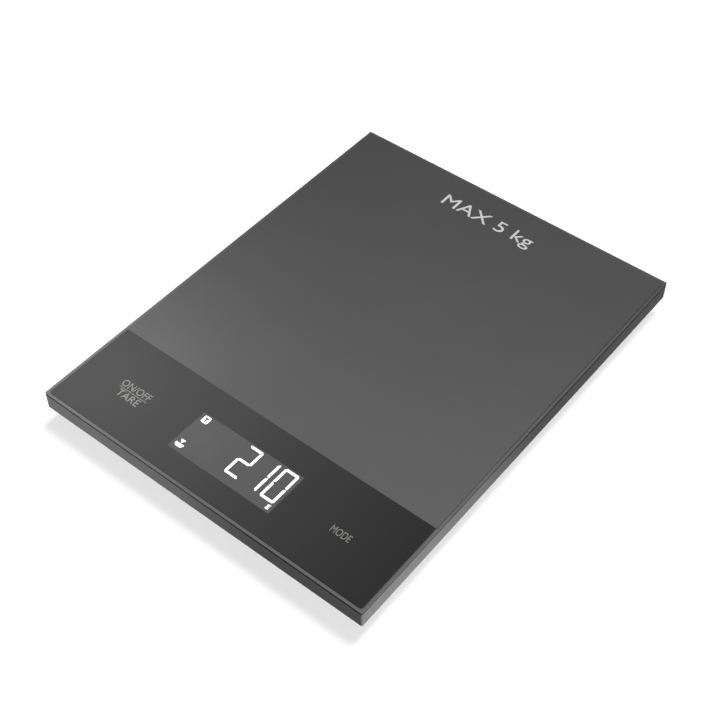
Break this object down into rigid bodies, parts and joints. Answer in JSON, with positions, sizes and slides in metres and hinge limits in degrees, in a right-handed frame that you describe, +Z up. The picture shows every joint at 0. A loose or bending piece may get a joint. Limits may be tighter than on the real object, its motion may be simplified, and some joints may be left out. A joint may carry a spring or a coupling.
{
  "type": "kitchen scale",
  "caption": "Slim kitchen scale with a dark glass platform in a matte frame, a lit display window, touch keys and sprung feet.",
  "frame": {"origin": "centre of the bounding box on the worktop plane, under the middle of the platform", "axes": "+Z up; -Y towards the display end, which faces the user; +X to the user's right"},
  "size_m": [0.18, 0.232, 0.018],
  "materials": {
    "platform_glass": "dark grey back-printed tempered glass, smooth satin gloss",
    "foam_tape": "black closed-cell bonding foam",
    "frame_plastic": "fine spark-eroded matte dark grey",
    "base_plastic": "fine textured matte charcoal",
    "label_film": "blank satin silver label film",
    "screw_steel": "zinc-plated steel",
    "foot_plastic": "moulded satin black",
    "foot_rubber": "soft matte grey-black",
    "cell_steel": "stamped steel plate",
    "holder_plastic": "natural white moulding",
    "lead_sleeve": "white silicone sleeve",
    "battery_jacket": "plain printed jacket on a steel can",
    "contact_steel": "nickel-plated spring steel",
    "lead_black": "black insulated wire",
    "lead_red": "red insulated wire",
    "display_glass": "polished display cell",
    "strip_rubber": "banded conductive elastomer",
    "film_amber": "amber flexible circuit film",
    "board_laminate": "green solder-masked laminate",
    "chip_plastic": "moulded chip package",
    "capacitor_body": "yellow moulded tantalum body",
    "display_light": "lit white display segments",
    "window_tint": "lit grey display window",
    "key_print": "light grey key print",
    "scale_print": "pale grey printed marking"
  },
  "bodies": {
    "scale_body": {"glass_platform": "platform_glass", "glass_tape": "foam_tape", "platform_tray": "frame_plastic", "base_housing": "base_plastic", "rating_label": "label_film", "base_screw_front_left": "screw_steel", "base_screw_front_right": "screw_steel", "base_screw_middle_left": "screw_steel", "base_screw_middle_right": "screw_steel", "base_screw_back_left": "screw_steel", "base_screw_back_right": "screw_steel", "load_cell_front_left": "cell_steel", "cell_holder_front_left": "holder_plastic", "cell_lead_front_left": "lead_sleeve", "board_screw_front_left": "screw_steel", "load_cell_front_right": "cell_steel", "cell_holder_front_right": "holder_plastic", "cell_lead_front_right": "lead_sleeve", "board_screw_front_right": "screw_steel", "load_cell_back_left": "cell_steel", "cell_holder_back_left": "holder_plastic", "cell_lead_back_left": "lead_sleeve", "board_screw_back_left": "screw_steel", "load_cell_back_right": "cell_steel", "cell_holder_back_right": "holder_plastic", "cell_lead_back_right": "lead_sleeve", "board_screw_back_right": "screw_steel", "battery_front": "battery_jacket", "battery_back": "battery_jacket", "battery_bridge_contact": "contact_steel", "battery_spring_contact": "contact_steel", "battery_button_contact": "contact_steel", "battery_lead_negative": "lead_black", "battery_lead_positive": "lead_red", "display_holder": "foot_plastic", "display_panel": "display_glass", "display_backlight": "holder_plastic", "connector_strip": "strip_rubber", "touch_film": "film_amber", "main_board": "board_laminate", "controller_chip": "chip_plastic", "weighing_chip": "chip_plastic", "reservoir_capacitor": "capacitor_body", "sensor_socket_left": "holder_plastic", "sensor_socket_right": "holder_plastic"},
    "battery_door": {"battery_door": "base_plastic"},
    "foot_front_left": {"foot_cup_front_left": "foot_plastic", "foot_pad_front_left": "foot_rubber"},
    "foot_front_right": {"foot_cup_front_right": "foot_plastic", "foot_pad_front_right": "foot_rubber"},
    "foot_back_left": {"foot_cup_back_left": "foot_plastic", "foot_pad_back_left": "foot_rubber"},
    "foot_back_right": {"foot_cup_back_right": "foot_plastic", "foot_pad_back_right": "foot_rubber"}
  },
  "joints": [
    {"name": "foot_front_left_press", "type": "slide", "parent": "scale_body", "child": "foot_front_left", "axis": [0, 0, 1], "range_m": [0, 0.0006], "stiffness_N_per_m": 5000},
    {"name": "foot_front_right_press", "type": "slide", "parent": "scale_body", "child": "foot_front_right", "axis": [0, 0, 1], "range_m": [0, 0.0006], "stiffness_N_per_m": 5000},
    {"name": "foot_back_left_press", "type": "slide", "parent": "scale_body", "child": "foot_back_left", "axis": [0, 0, 1], "range_m": [0, 0.0006], "stiffness_N_per_m": 5000},
    {"name": "foot_back_right_press", "type": "slide", "parent": "scale_body", "child": "foot_back_right", "axis": [0, 0, 1], "range_m": [0, 0.0006], "stiffness_N_per_m": 5000},
    {"name": "battery_door_hinge", "type": "hinge", "parent": "scale_body", "child": "battery_door", "pos_m": [0, 0.0339, 0.0022], "axis": [1, 0, 0], "range_deg": [0, 95]}
  ]
}
